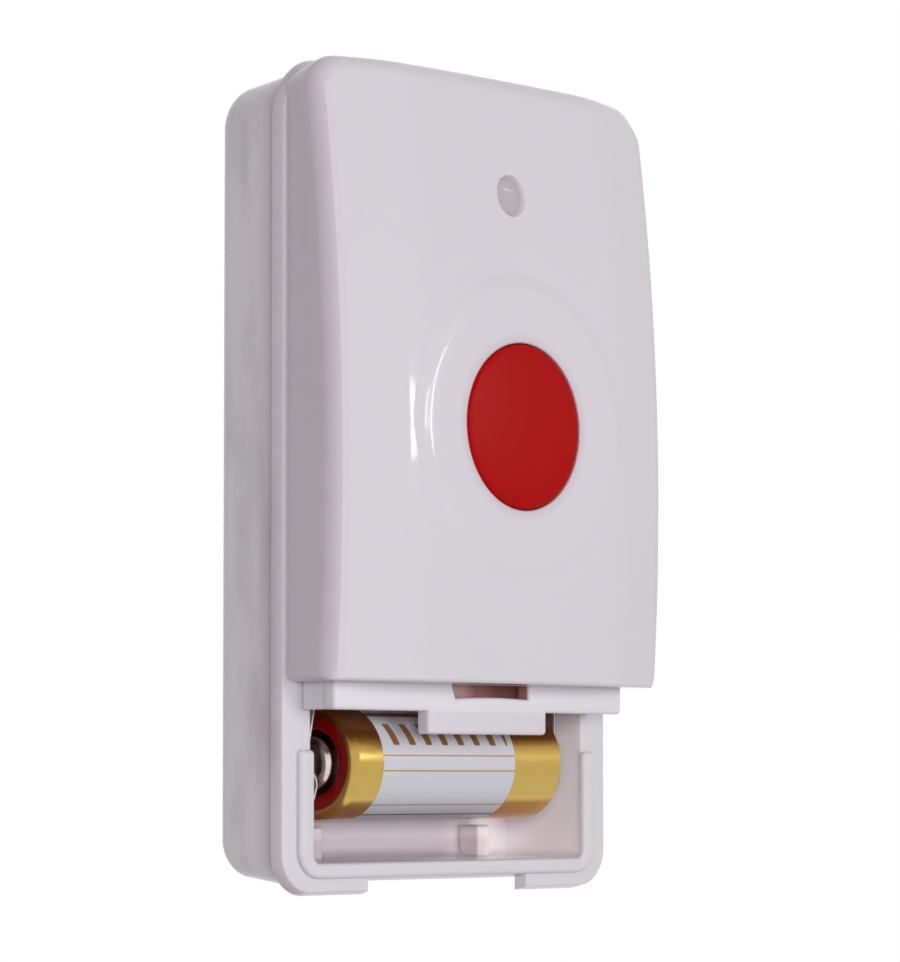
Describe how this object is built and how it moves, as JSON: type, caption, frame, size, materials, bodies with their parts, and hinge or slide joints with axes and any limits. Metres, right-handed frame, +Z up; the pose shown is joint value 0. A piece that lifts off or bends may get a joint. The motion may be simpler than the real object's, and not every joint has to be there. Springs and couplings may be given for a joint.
{
  "type": "wireless panic button",
  "caption": "Slim wall-mounted case with a crowned front, a round red push button in a flat round pad, a lamp dimple above it and an open battery bay below with a small cylindrical battery.",
  "frame": {"origin": "centre of the flat face that lies on the wall", "axes": "+X to the right as seen from the front, +Y into the wall, +Z up"},
  "size_m": [0.0434, 0.0197, 0.075],
  "materials": {
    "case_plastic": "fine satin moulding",
    "button_red": "smooth gloss",
    "black_plastic": "matte",
    "screw_steel": "zinc plated",
    "bright_steel": "tinned",
    "contact_metal": "nickel plated",
    "board_green": "solder mask",
    "tan_ceramic": "matte",
    "copper": "printed track",
    "lamp_red": "tinted clear",
    "battery_metal": "bare metal",
    "battery_gold": "printed gold film",
    "battery_white": "printed white film",
    "insulator_red": "fibre ring"
  },
  "bodies": {
    "case": {"back_case": "case_plastic", "front_cover": "case_plastic", "case_screws": "screw_steel", "switch_base": "black_plastic", "switch_frame": "bright_steel", "switch_dome": "bright_steel", "switch_legs": "bright_steel", "circuit_board": "board_green", "board_screws": "screw_steel", "encoder_chip": "black_plastic", "chip_leads": "bright_steel", "resonator_can": "bright_steel", "radio_transistor": "black_plastic", "transistor_leads": "bright_steel", "chip_resistors": "black_plastic", "chip_capacitors": "tan_ceramic", "antenna_track": "copper", "lamp_lens": "lamp_red", "lamp_legs": "bright_steel", "positive_contact": "contact_metal", "negative_contact": "contact_metal", "negative_spring": "contact_metal"},
    "button": {"button_cap": "button_red", "switch_plunger": "black_plastic"},
    "battery": {"battery_can": "battery_metal", "battery_sleeve": "battery_gold", "battery_label": "battery_white", "battery_insulator": "insulator_red", "battery_cap": "battery_metal", "battery_base": "battery_metal"}
  },
  "joints": [
    {"name": "button_press", "type": "slide", "parent": "case", "child": "button", "axis": [0, 1, 0], "range_m": [0, 0.0005], "stiffness_N_per_m": 600, "springref_m": -0.0015, "deforming": ["switch_dome"]},
    {"name": "battery_out", "type": "slide", "parent": "case", "child": "battery", "axis": [0, -0.891, -0.454], "range_m": [0, 0.02]}
  ]
}
